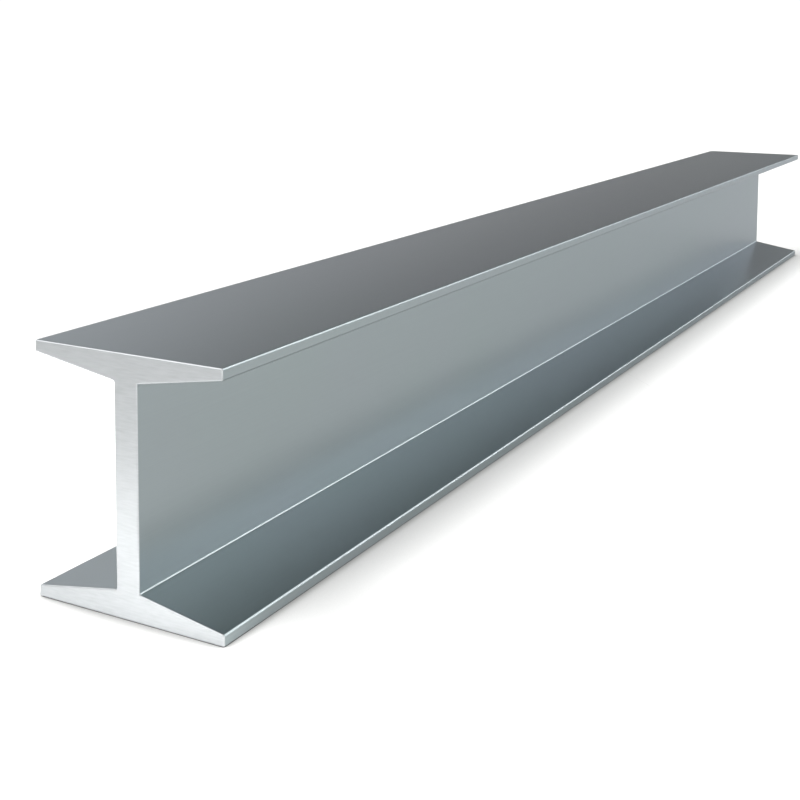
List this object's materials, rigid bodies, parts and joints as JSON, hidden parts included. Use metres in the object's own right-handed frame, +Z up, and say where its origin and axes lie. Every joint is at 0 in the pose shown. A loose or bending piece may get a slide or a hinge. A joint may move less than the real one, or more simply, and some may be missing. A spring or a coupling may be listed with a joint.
{
  "type": "stainless steel h-beam",
  "caption": "Straight H-section steel bar with a deep web and wide flanges that taper to thin square toes, sawn square at the ends; carries load as a beam or post.",
  "frame": {"origin": "middle of the lower flange's underside, on the floor under the beam's centre", "axes": "+X along the beam's length, +Y across the flanges, +Z up from the lower flange to the upper one"},
  "size_m": [0.95, 0.087, 0.1],
  "materials": {
    "stainless_steel": "satin"
  },
  "bodies": {
    "root": {"h_beam": "stainless_steel"}
  },
  "joints": []
}
